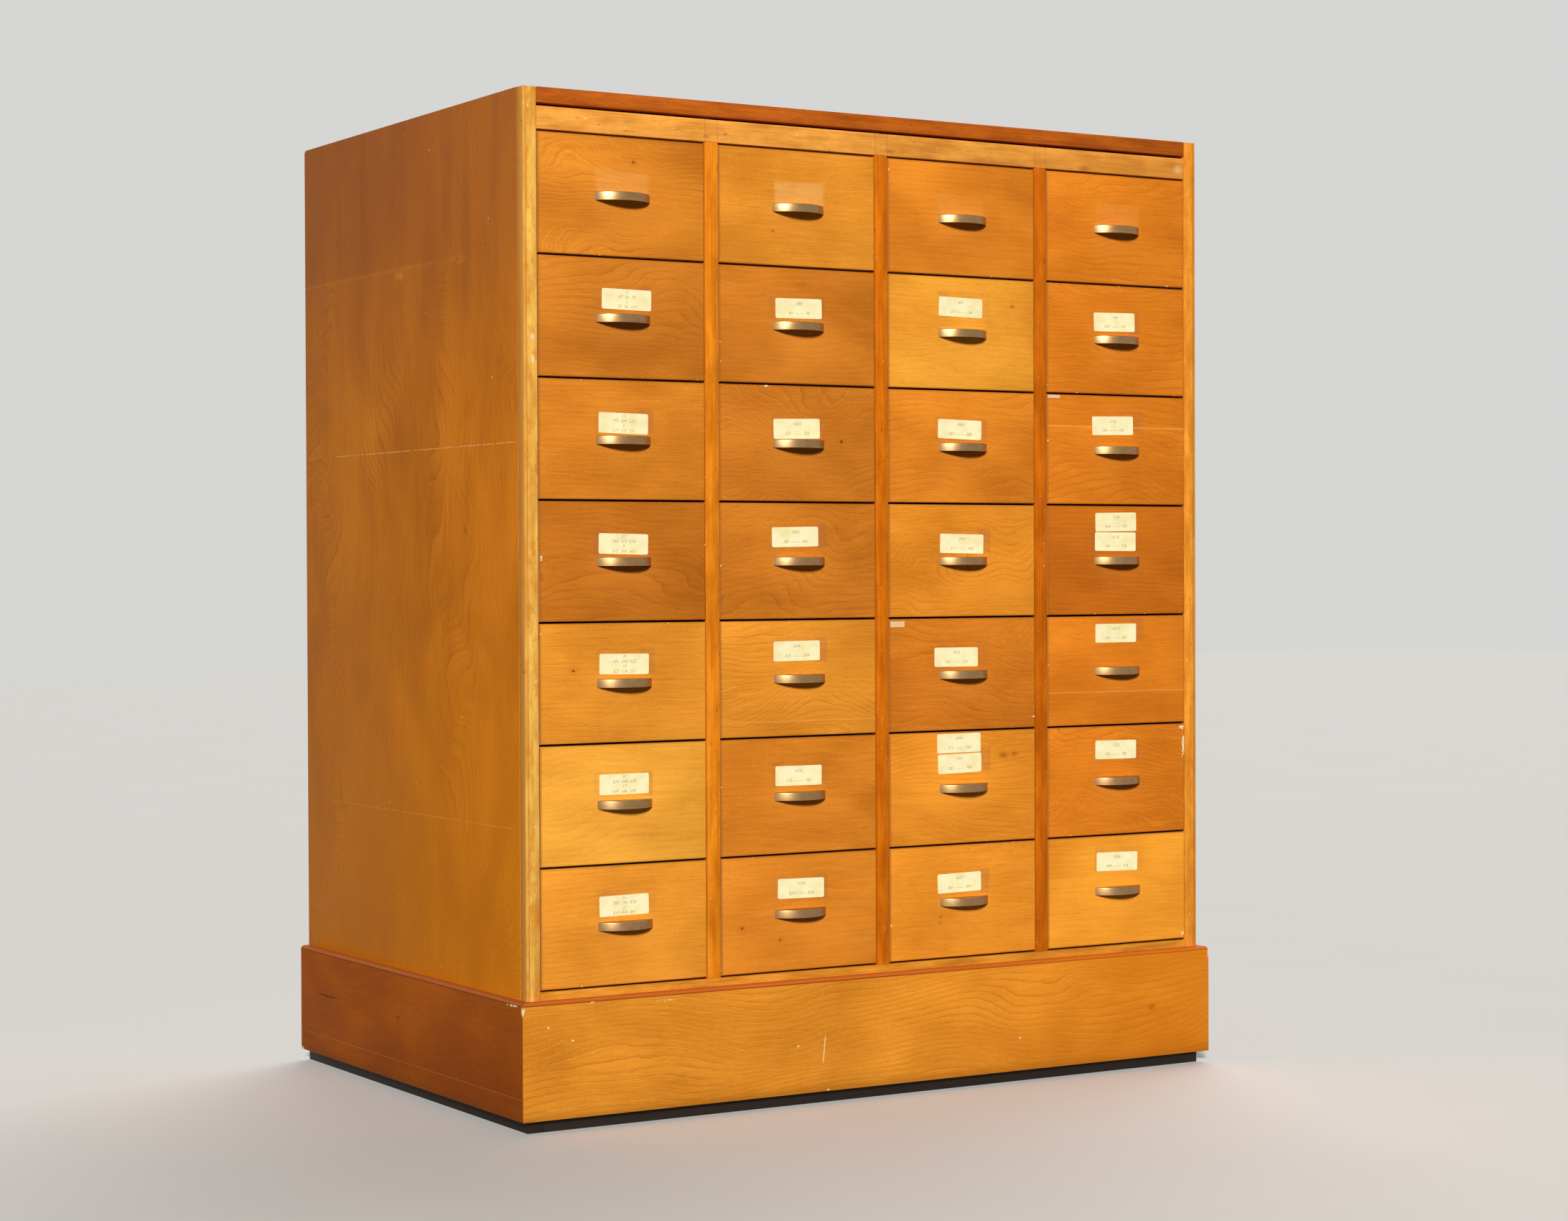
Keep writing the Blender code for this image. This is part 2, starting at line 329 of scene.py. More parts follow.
def veneer(name, tone, grain, shift, figure, marks=None):
    """Stained rotary-cut birch: rings in contour lines, streaks, pores and clouds, satin varnish.

    grain gives the axis that the fibres follow and the axis across them on the face; figure
    is one of the sets above; marks may add to the colour, height and roughness."""
    along, across = grain
    strength, swirl, pitch, lengthwise, crosswise = figure
    f = Finish(name, along, shift, specular_ior_level=varnish_gloss)
    sweep = f.fibre(lengthwise, crosswise, 1.2, 0.35, 0.3)
    jag = f.fibre(36, 170, 3.0, 0.6)
    feather = 0.5 if along == "x" else 0.22
    rings = f.axes()["xyz".index(across)] * (1 / pitch) + sweep * swirl + jag * feather
    wave = f.maths("FRACT", rings)
    fine = f.maths("FRACT", rings * 2.63)
    presence = f.fibre(8, 17, 2.5, 0.55)
    present = f.step(presence, 0.36, 0.64)
    dark_line = (1 - wave) ** 5.0 * present + (1 - fine) ** 3.5 * f.step(presence, 0.66, 0.42) * 0.6
    pale_line = f.step(wave, 0.76, 0.97) * (0.2 + f.step(presence, 0.66, 0.38) * 0.6)
    streak = f.fibre(18, 320, 5.0, 0.70)
    cloud = f.fibre(6, 13, 3.0, 0.5, 0.4)
    pore = f.step(f.fibre(85, 1000, 1.5), 0.60, 0.74)
    blush = f.fibre(3.5, 5.5, 2.0, 0.5, 0.8)
    shade = (cloud - 0.5) * 0.9 + (streak - 0.5) * 0.6 + (blush - 0.5) * 0.9 + 0.5
    f.colour = f.mix(f.step(shade, 0.05, 0.95), lit(tone, 0.72, 1.12), lit(tone, 1.20, 0.97))
    f.stain(dark_line * (0.46 * strength), lit(tone, 0.50, 1.22))
    f.stain(pale_line * (0.22 * strength), lit(tone, 1.30, 0.92))
    f.stain(pore * 0.30, lit(tone, 0.55, 1.2))
    # Dark specks in the grain, and pale whiter specks that are painted glints.
    speck_and_glint = f.fibre(260, 520, 2.0, 0.6)
    f.stain(f.step(speck_and_glint, 0.58, 0.72) * 0.22, lit(tone, 0.6, 1.15))
    f.stain(f.step(speck_and_glint, 0.42, 0.30) * 0.18, lit(tone, 1.30, 0.92))
    f.height = streak * 0.35 + wave * 0.15 * strength - pore * 0.5
    f.rough = 0.44 + cloud * 0.12 + pore * 0.15
    if marks:
        marks(f)
    return f.finished(0.0002, 0.6)


def solid_wood(name, tone, along, shift, streaks=1.0, wear=0.0, marks=None, dirt=0.25):
    """Straight-grained solid wood: lippings, rail and edge strips, with dents and worn spots."""
    f = Finish(name, along, shift, specular_ior_level=varnish_gloss)
    streak = f.fibre(7, 520, 5.0, 0.62)
    cloud = f.fibre(16, 70, 3.0, 0.6)
    pore = f.step(f.fibre(120, 1500, 1.0), 0.62, 0.75)
    shade = (streak - 0.5) * streaks + (cloud - 0.5) * 1.15 + 0.5
    f.colour = f.mix(f.step(shade, 0.1, 0.9), lit(tone, 0.70, 1.16), lit(tone, 1.22, 0.98))
    f.stain(pore * 0.35, lit(tone, 0.5, 1.2))
    grime = f.fibre(11, 130, 4.0, 0.7)
    f.stain(f.step(grime, 0.55, 0.72) * dirt, lit(tone, 0.48, 1.1))
    dent = f.step(f.fibre(60, 210, 3.0, 0.65), 0.67, 0.72)
    f.stain(dent * 0.55, lit(tone, 0.34, 1.25))
    bare = f.step(f.fibre(110, 380, 2.0), 0.73, 0.77)
    f.stain(bare * wear, srgb(253, 232, 190))
    f.height = streak * 0.4 - dent * 0.8 - bare * wear * 0.8 - pore * 0.4
    f.rough = 0.40 + cloud * 0.14
    if marks:
        marks(f)
    return f.finished(0.00025, 0.7)


def ply_edge(name, across):
    """The edge of a plywood board: thin plies, light and dark in turn, across its thickness."""
    tone = srgb(196, 132, 66)
    f = Finish(name, specular_ior_level=0.35)
    ply = f.maths("PINGPONG", f.axes()["xyz".index(across)] * (ply_count / panel), 1.0)
    fine = f.noise((900, 900, 900), 2.0, 0.6)
    f.colour = f.mix(f.step(ply, 0.42, 0.58), lit(tone, 0.55, 1.15), tone)
    f.stain(f.noise((160, 160, 160), 3.0, 0.6) * 0.35, lit(tone, 0.62, 1.1))
    f.height = ply * 0.3 + fine * 0.5
    f.rough = 0.55 + fine * 0.2
    return f.finished(0.0002, 0.6)


def raw_wood(name, tone, along, shift, contrast=1.0, floor_shade=0.0):
    """Unfinished inner wood: drawer boxes, frame and runners; near the floor it can be painted
    near-black, as shade under the skirt.
    """
    f = Finish(name, along, shift, specular_ior_level=0.3)
    streak = f.fibre(7, 240, 5.0, 0.6)
    ring = f.fibre(1.6, 26, 2.0, 0.5, 0.5)
    rings = f.maths("PINGPONG", ring * 9.0, 0.5) * 2.0
    fine = f.fibre(90, 1100, 2.0)
    shade = (streak - 0.5) * contrast + (rings - 0.5) * 0.45 * contrast + 0.5
    f.colour = f.mix(f.step(shade, 0.0, 1.0), lit(tone, 0.68, 1.12), lit(tone, 1.16, 0.97))
    f.stain(f.step(fine, 0.62, 0.74) * 0.35, lit(tone, 0.5, 1.15))
    # Near-black near the floor: painted shade where the base stands back under the skirt.
    if floor_shade:
        f.stain(f.step(f.axes()[2] + streak * 0.03, 0.075, 0.028) * floor_shade, srgb(14, 9, 6))
    f.height = streak * 0.5 + fine * 0.4
    f.rough = 0.58 + streak * 0.16
    return f.finished(0.0003, 0.6)


face_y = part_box("drawer_r1_c1")[0].y

# Marks on single fronts, as x and z on the cabinet and how far they reach each way
knots = {
    "r1_c1": [(-0.368, 1.1975, 0.0032, 0.0020)],
    "r1_c2": [(-0.166, 1.123, 0.0016, 0.0014)],
    "r2_c3": [(0.209, 1.0415, 0.0050, 0.0034)],
    "r3_c2": [(-0.063, 0.8555, 0.0040, 0.0028)],
    "r5_c1": [(-0.455, 0.566, 0.0035, 0.0022)],
    "r6_c3": [(0.1920, 0.4400, 0.0105, 0.0055), (0.2105, 0.4415, 0.0080, 0.0040)],
    "r7_c2": [(-0.215, 0.233, 0.0030, 0.0024), (-0.1585, 0.2143, 0.0022, 0.0022)],
    "r7_c3": [(0.0898, 0.2290, 0.0018, 0.0016), (0.0894, 0.2206, 0.0014, 0.0014)],
}
smudge_width = 0.0045  # a knot wider than this is a soft smudge
chips = {
    "r3_c2": [(-0.1766, 0.9252, 0.0046, 0.0024)],
    "r6_c4": [(0.4985, 0.4440, 0.0042, 0.0240), (0.4955, 0.4690, 0.0070, 0.0046)],
    "r7_c4": [(0.4965, 0.1815, 0.0050, 0.0034)],
    "r4_c1": [(-0.4985, 0.7050, 0.0020, 0.0060)],
    "r5_c3": [(0.2420, 0.4905, 0.0040, 0.0016)],
}
# Where a front's veneer is joined: height above its foot, how much darker one leaf is, and
# whether that is the lower one
seams = {
    "r3_c4": (0.1057, 0.24, False),
    "r5_c4": (0.045, 0.16, True),
    "r5_c2": (0.019, 0.12, True),
}


def front_marks(place, number, low, high):
    """Marks on one drawer front: tape residue round its label, a dark edge and small knocks."""
    centre, foot = (low.x + high.x) / 2, low.z
    lean = math.sin(number * 2.4) * 0.003

    def add(f):
        x, _, z = f.axes()
        top_row = number < columns
        reach = label_width / 2 + (0.002 if top_row else 0.007)
        soft = 0.004 if top_row else 0.0016
        middle = foot + (0.0900 if top_row else label_places[place][-1][1] + 0.002) + lean
        inside = f.band(x, centre + lean, reach + soft, reach - soft)
        inside = inside * f.band(z, middle, 0.0158 + soft, 0.0158 - soft)
        ragged = f.noise((60, 60, 90), 3.0, 0.6, shift=(number, 0, 0))
        inside = inside * (0.55 + f.step(ragged, 0.30, 0.70) * 0.45)
        if top_row:
            share = {"r1_c1": 0.24, "r1_c2": 0.5}.get(place, 0.12)
            f.stain(inside * share, srgb(244, 186, 112))
        else:
            towards = 1 if number % 3 else -1
            one_side = f.step((x - centre) * towards, label_width * 0.30, label_width * 0.36)
            f.stain(inside * (0.14 + one_side * 0.22), srgb(160, 98, 66))
        if place in seams:
            above, darker, lower = seams[place]
            level = foot + above
            below = f.step(z, level + 0.0005, level - 0.0015)
            f.stain((below if lower else 1 - below) * darker, srgb(184, 98, 18))
            f.stain(f.band(z, level, 0.0012, 0.0004) * darker * 1.6, srgb(252, 196, 106))
        for spot_x, spot_z, wide, tall in knots.get(place, ()):
            spot = (spot_x, face_y, spot_z)
            smudge = wide > smudge_width
            spread = 1.6 if smudge else 3.2
            f.stain(f.near(spot, (wide * spread, 0.03, tall * spread)) * 0.35, srgb(176, 96, 26))
            core = f.step(f.near(spot, (wide, 0.03, tall)), 0.1, 0.6)
            f.stain(core * (0.3 if smudge else 0.8), srgb(104, 40, 6))
        edge_gap = f.maths("MINIMUM", x - low.x, high.x - x)
        edge_gap = f.maths("MINIMUM", edge_gap, f.maths("MINIMUM", z - foot, high.z - z))
        edge = f.step(edge_gap, 0.0026, 0.0006)
        f.stain(edge * 0.34, srgb(128, 62, 8))
        rub = f.noise((120, 60, 120), 3.0, 0.6, shift=(number * 1.7, 0, 0))
        f.stain(edge * f.step(rub, 0.67, 0.72), srgb(252, 222, 158))
        # A lighter, warmer patch round the pull: partly wear from handling, partly a painted
        # highlight.
        wear_and_highlight = f.near((centre, face_y, foot + 0.058), (0.070, 0.05, 0.040))
        f.stain(wear_and_highlight * 0.12, srgb(242, 160, 70))
        fleck = f.noise((330, 60, 330), 1.0, shift=(number * 3.1, 0, number))
        fleck = f.step(fleck, 0.80, 0.83)
        f.stain(fleck * 0.5, srgb(252, 208, 140))
        for spot_x, spot_z, wide, tall in chips.get(place, ()):
            spot = f.near((spot_x, face_y, spot_z), (wide * 1.3, 0.03, tall * 1.3))
            broken = f.noise((430, 60, 430), 3.0, 0.65)
            chip = f.step(spot + (broken - 0.5) * 2.6, 0.60, 0.70) * f.step(spot, 0.0, 0.15)
            f.stain(chip * 0.9, srgb(254, 230, 184))
            f.height = f.height - chip * 0.8
        f.height = f.height - fleck * 0.6 - edge * 0.2
        f.rough = f.rough + inside * 0.12

    return add


def mesh_of(bm, name):
    """Turns a bmesh into a mesh and frees it."""
    mesh = bpy.data.meshes.new(name)
    bm.to_mesh(mesh)
    bm.free()
    return mesh


def linked(name, data):
    """A new object in the scene."""
    obj = bpy.data.objects.new(name, data)
    bpy.context.collection.objects.link(obj)
    return obj


def new_piece(name, bm, materials, body="case", smooth=None, outwards=True):
    """A bmesh made into a finished piece that rides on a body."""
    if outwards:
        bmesh.ops.recalc_face_normals(bm, faces=bm.faces)
    mesh = mesh_of(bm, name)
    for material in materials:
        mesh.materials.append(material)
    if smooth is not None:
        mesh.shade_smooth()
        mesh.set_sharp_from_angle(angle=math.radians(smooth))
    obj = linked(name, mesh)
    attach(obj, body)
    return obj


def edges_where(bm, test):
    """The edges with both ends at places that pass a test."""
    return [e for e in bm.edges if all(test(v.co) for v in e.verts)]


def eased(bm, edges, offset, segments=2):
    """Rounds edges."""
    bmesh.ops.bevel(
        bm,
        geom=edges,
        offset=offset,
        segments=segments,
        profile=0.5,
        affect="EDGES",
        material=-1,
        clamp_overlap=True,
    )


def box_mesh(bm, low, high, ease=arris):
    """Adds a board with eased edges to a bmesh."""
    low, high = Vector(low), Vector(high)
    made = bmesh.ops.create_cube(bm, size=1.0)["verts"]
    bmesh.ops.scale(bm, vec=high - low, verts=made)
    bmesh.ops.translate(bm, vec=(low + high) / 2, verts=made)
    if ease:
        eased(bm, list({edge for vert in made for edge in vert.link_edges}), ease)


def board(name, low, high, material, ease=arris):
    """A board of the case as a piece of its own."""
    bm = bmesh.new()
    box_mesh(bm, low, high, ease)
    return new_piece(name, bm, [material], smooth=40)


def pushed(bm, faces, way, **options):
    """Extrudes faces and moves the new ones along a way."""
    made = bmesh.ops.extrude_face_region(bm, geom=faces, **options)["geom"]
    bmesh.ops.translate(bm, vec=way, verts=[v for v in made if isinstance(v, bmesh.types.BMVert)])


def extruded(bm, outline, way):
    """Adds a flat outline pushed along a way, closed."""
    pushed(bm, [bm.faces.new([bm.verts.new(point) for point in outline])], way)


def cut_by_plane(bm, point, normal, snap=1e-7, clear_outer=True):
    """Cuts a bmesh with a plane and returns what lies on the cut."""
    geometry = list(bm.verts) + list(bm.edges) + list(bm.faces)
    return bmesh.ops.bisect_plane(
        bm, geom=geometry, plane_co=point, plane_no=normal, clear_outer=clear_outer, dist=snap
    )["geom_cut"]


def mitred(bm, corner, normal):
    """Cuts a shape with a mitre plane and closes the cut."""
    cut = cut_by_plane(bm, corner, normal, snap=1e-6)
    rim = [item for item in cut if isinstance(item, bmesh.types.BMEdge)]
    bmesh.ops.edgeloop_fill(bm, edges=rim)


# Places read from the CAD model
carcass_low, carcass_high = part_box("carcass")
top_low, top_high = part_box("top_panel")
back_low, back_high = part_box("back_panel")
plinth_low, plinth_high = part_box("plinth")
front_y, back_y = carcass_low.y, carcass_high.y
case_left, case_right = carcass_low.x, carcass_high.x
case_foot, case_top = carcass_low.z, carcass_high.z
plinth_top = plinth_high.z
floor_of_bays = plinth_top + bottom_edge
rail_top = case_top - top_board - top_slot
rail_foot = rail_top - rail_height
bay_width = (case_right - case_left - (columns + 1) * panel) / columns
bay_pitch = bay_width + panel
lip_back = front_y + lipping_depth
back_face = back_y - back_board - fit


def bay_left(column):
    return case_left + panel + column * bay_pitch


side_tone = srgb(204, 120, 27)
lip_tones = {"left": srgb(255, 186, 86), "right": srgb(238, 154, 52)}
flank_tone = srgb(222, 150, 62)
stile_tones = [srgb(230, 136, 28), srgb(208, 110, 14), srgb(198, 102, 12)]
rail_tone = srgb(236, 160, 68)
red_tone = srgb(184, 94, 26)
skirt_tone = srgb(230, 148, 46)
skirt_side_tone = srgb(164, 82, 5)
inner_tone = srgb(214, 160, 100)
box_tone = srgb(226, 184, 128)
raw_tone = srgb(206, 158, 104)

# Marks on the case and plinth, as places and reaches in metres
side_curls = ((0.030, 1.080, 0.020, 0.014), (-0.146, 1.086, 0.040, 0.008))
lip_spots = ((0.976, 0.005, 0.007), (0.9483, 0.0045, 0.009), (0.376, 0.0016, 0.002))
rail_knots = (
    (-0.263, 0.007, 0.008),
    (0.014, 0.006, 0.012),
    (0.33, 0.004, 0.014),
    (-0.235, 0.012, 0.005),
)
skirt_flecks = (
    (-0.139, 0.078),
    (-0.094, 0.018),
    (0.21, 0.060),
    (-0.4976, 0.1302),
    (-0.4641, 0.1116),
)


def side_marks(f):
    """The left side's patch line, dark upper end, smudges and two long scratches."""
    _, y, z = f.axes()
    patch_line = 1.088
    above = f.step(z, patch_line - 0.004, patch_line + 0.010)
    rear = f.step(y, -0.20, 0.02)
    f.stain(above * rear * 0.22, srgb(138, 74, 28))
    f.stain(f.band(z, patch_line, 0.0030, 0.0006) * rear * 0.28, srgb(226, 150, 66))
    smudge = f.noise((1, 26, 3.2), shift=(0, 0.4, 0.2))
    f.stain(f.step(smudge, 0.50, 0.72) * f.step(z, 0.95, 1.15) * 0.4, srgb(120, 66, 30))
    # Browner towards the top; lighter and more orange low down, where the lightening is a painted
    # sheen.
    f.stain(f.step(z, 0.80, 1.27) * 0.7, srgb(154, 88, 42))
    f.stain(f.step(z, 0.80, 0.30) * 0.45, srgb(218, 130, 12))
    for spot_y, spot_z, wide, tall in side_curls:
        curl = f.near((case_left, spot_y, spot_z), (0.03, wide, tall))
        ripple = f.noise((60, 90, 150), 3.0, 0.6, 1.2)
        f.stain(curl * f.step(ripple, 0.46, 0.60) * 0.6, srgb(226, 144, 60))
    worn = f.noise((1, 130, 20), 2.0)
    line = f.band(z, 0.848, 0.0010, 0.0003) * f.step(y, 0.250, 0.240) * f.step(y, -0.316, -0.306)
    f.stain(line * f.step(worn, 0.30, 0.56) * 0.55, srgb(246, 190, 122))
    low_line = f.band(z, 0.3716, 0.0009, 0.0003) * f.step(y, 0.272, 0.262) * f.step(y, -0.31, -0.29)
    f.stain(low_line * f.step(worn, 0.34, 0.50) * 0.4, srgb(236, 170, 90))
    specks = f.step(f.noise((1, 170, 120), 1.0, shift=(0, 3.3, 1.1)), 0.82, 0.84)
    f.stain(specks * 0.7, srgb(250, 220, 170))
    f.height = f.height - line * 0.8


def lip_marks(outer, inwards):
    """A lipping's glue line, the dirt along it and its darker side face."""

    def add(f):
        x, y, _ = f.axes()
        inset = (x - outer) * inwards
        seam = f.band(inset, 0.0042, 0.0009, 0.0003)
        f.stain(seam * 0.5, srgb(140, 84, 26))
        f.stain(f.step(inset, 0.0042, 0.0034) * 0.30, srgb(190, 118, 40))
        grime = f.noise((110, 20, 42), 4.0, 0.7)
        f.stain(f.step(grime, 0.48, 0.64) * 0.55, srgb(214, 124, 36))
        f.stain(f.step(grime, 0.66, 0.74) * 0.5, srgb(148, 78, 22))
        flank = f.step(inset, 0.0012, 0.0002) * f.step(y, front_y + 0.0010, front_y + 0.0022)
        streak = f.noise((120, 200, 9), 3.0, 0.6)
        side = f.mix(streak, lit(flank_tone, 0.70), lit(flank_tone, 1.06))
        side = f.mix(f.step(grime, 0.60, 0.72) * 0.5, side, srgb(120, 74, 34))
        f.stain(flank, side)
        for level, wide, tall in lip_spots if inwards > 0 else ():
            spot = f.near((outer + inwards * 0.012, front_y, level), (wide, 0.02, tall))
            f.stain(f.step(spot + (grime - 0.5), 0.2, 0.7) * 0.6, srgb(250, 226, 190))
        f.height = f.height - seam * 0.6

    return add


def rail_marks(f):
    """Knots, a bruise and the joints at the stiles on the top rail."""
    for spot_x, spot_z, wide in rail_knots:
        spot = f.near((spot_x, front_y, rail_foot + spot_z), (wide, 0.02, wide * 0.45))
        f.stain(spot * 0.6, srgb(160, 80, 24))
        f.height = f.height + spot * 0.2
    x, _, _ = f.axes()
    for number in range(1, columns):
        offset = f.maths("ABSOLUTE", x - (bay_left(number) - panel / 2))
        f.stain(f.step(offset, panel * 0.52, panel * 0.48) * 0.14, srgb(214, 132, 52))
        f.stain(f.band(offset, panel / 2, 0.0009, 0.0002) * 0.28, srgb(128, 66, 20))
    f.stain(f.step(x, 0.10, 0.45) * 0.22, srgb(214, 126, 34))
    bruise = f.near((case_right - 0.030, front_y, rail_foot + 0.012), (0.012, 0.02, 0.010))
    f.stain(bruise * 0.7, srgb(250, 204, 130))
    f.height = f.height - bruise * 0.6


def red_marks(f):
    """Dark latewood lines of the softwood strip, and bruises where it was knocked."""
    lines = f.noise((1.5, 300, 300), 3.0, 0.55, shift=(0.3, 0, 0.6))
    f.stain(f.step(lines, 0.56, 0.70) * 0.45, srgb(138, 52, 14))
    scuffs = f.noise((24, 60, 130), 3.0, 0.6, shift=(0.9, 0, 0.1))
    f.stain(f.step(scuffs, 0.66, 0.76) * 0.35, srgb(220, 142, 74))


def top_marks(f):
    """The top is dull from dust and wear, with rubbed spots."""
    rubbed = f.noise((9, 13, 1), 4.0, 0.6, shift=(0.3, 0.8, 0))
    f.stain(f.step(rubbed, 0.56, 0.72) * 0.25, srgb(222, 156, 88))
    f.rough = f.rough + 0.26 + rubbed * 0.10


def skirt_marks(along):
    """The strip along the skirt's upper edge, its joint line, dark foot and knocked corners."""
    left, right, front = plinth_low.x, plinth_high.x, plinth_low.y
    strip_foot = plinth_top - skirt_band

    def add(f):
        x, _, z = f.axes()
        tone = srgb(198, 102, 38) if along == "x" else srgb(176, 96, 44)
        streaks = f.noise(grain_stretch(along, 12, 500), 3.0, 0.6)
        upper = f.step(z, strip_foot - 0.0004, strip_foot + 0.0004)
        f.stain(upper, f.mix(streaks, lit(tone, 0.7, 1.2), lit(tone, 1.2, 0.95)))
        joint = f.band(z, strip_foot, 0.0011, 0.0003)
        f.stain(joint * 0.7, srgb(92, 36, 6))
        f.stain(f.step(z, skirt_clearance + 0.014, skirt_clearance) * 0.35, srgb(110, 60, 14))
        bare = f.near((left, front, plinth_top - 0.010), (0.006, 0.008, 0.012))
        for spot, reach in (
            ((left, front + 0.026, plinth_top - 0.0052), (0.004, 0.032, 0.0024)),
            ((right, front, plinth_top - 0.009), (0.008, 0.008, 0.014)),
            ((left, plinth_high.y, skirt_clearance), (0.012, 0.018, 0.011)),
        ):
            bare = f.maths("MAXIMUM", bare, f.near(spot, reach))
        ragged = f.noise((420, 420, 260), 3.0, 0.65)
        chipped = f.step(bare + (ragged - 0.5) * 2.6, 0.62, 0.70) * f.step(bare, 0.0, 0.12)
        f.stain(chipped * 0.9, srgb(253, 232, 190))
        f.height = f.height - joint * 1.4 - chipped * 1.6
        if along == "y":
            groove = f.band(z, skirt_clearance + 0.0277, 0.0008, 0.0002)
            f.stain(groove * 0.45, srgb(206, 122, 58))
            f.height = f.height - groove
            crack = f.near((left, 0.258, 0.101), (0.03, 0.052, 0.0022))
            f.stain(f.step(crack + (ragged - 0.5), 0.2, 0.5) * 0.7, srgb(62, 24, 4))
            hole = f.near((left, 0.021, 0.1004), (0.03, 0.006, 0.003))
            f.stain(hole * 0.8, srgb(62, 24, 4))
            return
        f.stain(f.step(x, -0.10, 0.50) * 0.45, srgb(210, 112, 6))
        scuff = f.near((-0.437, front_y, plinth_top - 0.0055), (0.030, 0.03, 0.0030))
        scuff = scuff + f.near((-0.333, front_y, plinth_top - 0.010), (0.045, 0.03, 0.005))
        scuff = scuff + f.near((-0.476, front_y, 0.112), (0.026, 0.03, 0.012)) * 0.75
        rubbed = f.noise((150, 60, 420), 3.0, 0.65)
        rubbed = f.step(scuff + (rubbed - 0.5) * 2.2, 0.62, 0.80) * f.step(scuff, 0.0, 0.2)
        f.stain(rubbed * 0.7, srgb(254, 222, 164))
        scratch = f.band(x, z * 0.10 - 0.107, 0.0011, 0.0003)
        scratch = scratch * f.step(z, 0.050, 0.058) * f.step(z, 0.092, 0.082)
        f.stain(scratch * 0.8, srgb(252, 222, 168))
        knot = f.near((right - 0.10, front_y, 0.085), (0.012, 0.03, 0.008))
        f.stain(knot * 0.7, srgb(120, 58, 12))
        for spot_x, spot_z in skirt_flecks:
            fleck = f.near((spot_x, front_y, spot_z), (0.0030, 0.03, 0.0022))
            f.stain(f.step(fleck, 0.0, 0.6) * 0.8, srgb(255, 232, 188))

    return add


def make_sides():
    """The two outer sides, rebated for the back, each with its lipping; returns the left side."""
    skins = {
        "left": veneer("side_veneer", side_tone, "zy", (3.1, 7.7, 1.3), side_figure, side_marks),
        "right": veneer("right_side_veneer", side_tone, "zy", (8.4, 2.2, 5.9), side_figure),
    }
    made = {}
    for side, outer, inwards, shift, streaks, wear, dirt in (
        ("left", case_left, 1, (2.0, 0.3, 0.7), 0.6, 0.8, 0.2),
        ("right", case_right, -1, (5.0, 1.3, 3.7), 0.7, 0.5, 0.3),
    ):
        inner = outer + inwards * panel
        rebate = inner - inwards * back_rebate
        outline = (
            (outer, lip_back, case_foot),
            (outer, back_y, case_foot),
            (rebate, back_y, case_foot),
            (rebate, back_face, case_foot),
            (inner, back_face, case_foot),
            (inner, lip_back, case_foot),
        )
        bm = bmesh.new()
        extruded(bm, outline, (0, 0, case_top - case_foot))
        corner = edges_where(bm, lambda at: at.z > case_top - fit and at.y > back_y - fit)
        eased(bm, corner, side_corner_radius, 5)
        flank = edges_where(bm, lambda at: abs(at.x - outer) < fit)
        eased(bm, [e for e in flank if e.calc_length() > side_corner_radius], arris)
        made[side] = new_piece(f"{side}_side", bm, [skins[side]], smooth=35)
        marks = lip_marks(outer, inwards)
        tone = lip_tones[side]
        lip = solid_wood(f"{side}_lipping_birch", tone, "z", shift, streaks, wear, marks, dirt)
        low = (min(outer, inner), front_y, case_foot)
        high = (max(outer, inner), lip_back - glue_line, case_top)
        board(f"{side}_lipping", low, high, lip, worn_arris)
    return made["left"]


def make_case():
    """Sides, partitions, bottom board, rail and edge strips, each a board of its own."""
    left_side = make_sides()
    inner_veneer = raw_wood("partition_veneer", inner_tone, "z", (1.2, 0.4, 2.2), 0.8)
    strip_back = lip_back - glue_line
    for number in range(1, columns):
        right = bay_left(number)
        left = right - panel
        low = (left, lip_back, floor_of_bays - housing)
        high = (right, back_face, case_top - top_board - fit)
        board(f"partition_{number}", low, high, inner_veneer)
        tone, shift = stile_tones[number - 1], (number * 2.3, 0.9, 0.3)
        stile = solid_wood(f"stile_{number}_birch", tone, "z", shift, 0.9, 0.6)
        low, high = (left, front_y, floor_of_bays), (right, strip_back, rail_foot)
        board(f"stile_{number}", low, high, stile, stile_arris)
    left, right = case_left + panel, case_right - panel
    rail_wood = solid_wood("rail_birch", rail_tone, "x", (0.4, 0.2, 5.1), 0.7, 0.6, rail_marks, 0.12)
    low, high = (left, front_y, rail_foot), (right, front_y + panel, rail_top)
    board("top_rail", low, high, rail_wood, rail_arris)
    foot_wood = solid_wood("foot_strip_birch", srgb(212, 140, 46), "x", (1.4, 0.6, 3.1), 0.9, 0.3)
    low, high = (left, front_y, case_foot), (right, strip_back, floor_of_bays)
    board("foot_strip", low, high, foot_wood, stile_arris)
    low, high = (left, lip_back, case_foot), (right, back_face, floor_of_bays)
    board("bottom_board", low, high, inner_veneer)
    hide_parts("carcass")


def make_runners():
    """Hardwood strips on both walls of every bay, as one piece."""
    bm = bmesh.new()
    start = front_y + panel + fit
    for column in range(columns):
        for row in range(rows):
            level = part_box(f"drawer_r{row + 1}_c{column + 1}")[0].z + runner_level
            for wall, inwards in ((bay_left(column), 1), (bay_left(column) + bay_width, -1)):
                tip = wall + inwards * runner_reach
                outline = (
                    (wall, start),
                    (tip - inwards * runner_nose, start),
                    (tip, start + runner_nose),
                    (tip, back_face),
                    (wall, back_face),
                )
                foot = level - runner_height
                extruded(bm, [(x, y, foot) for x, y in outline], (0, 0, runner_height))
    new_piece("runners", bm, [raw_wood("runner_maple", box_tone, "y", (2, 1, 4))])


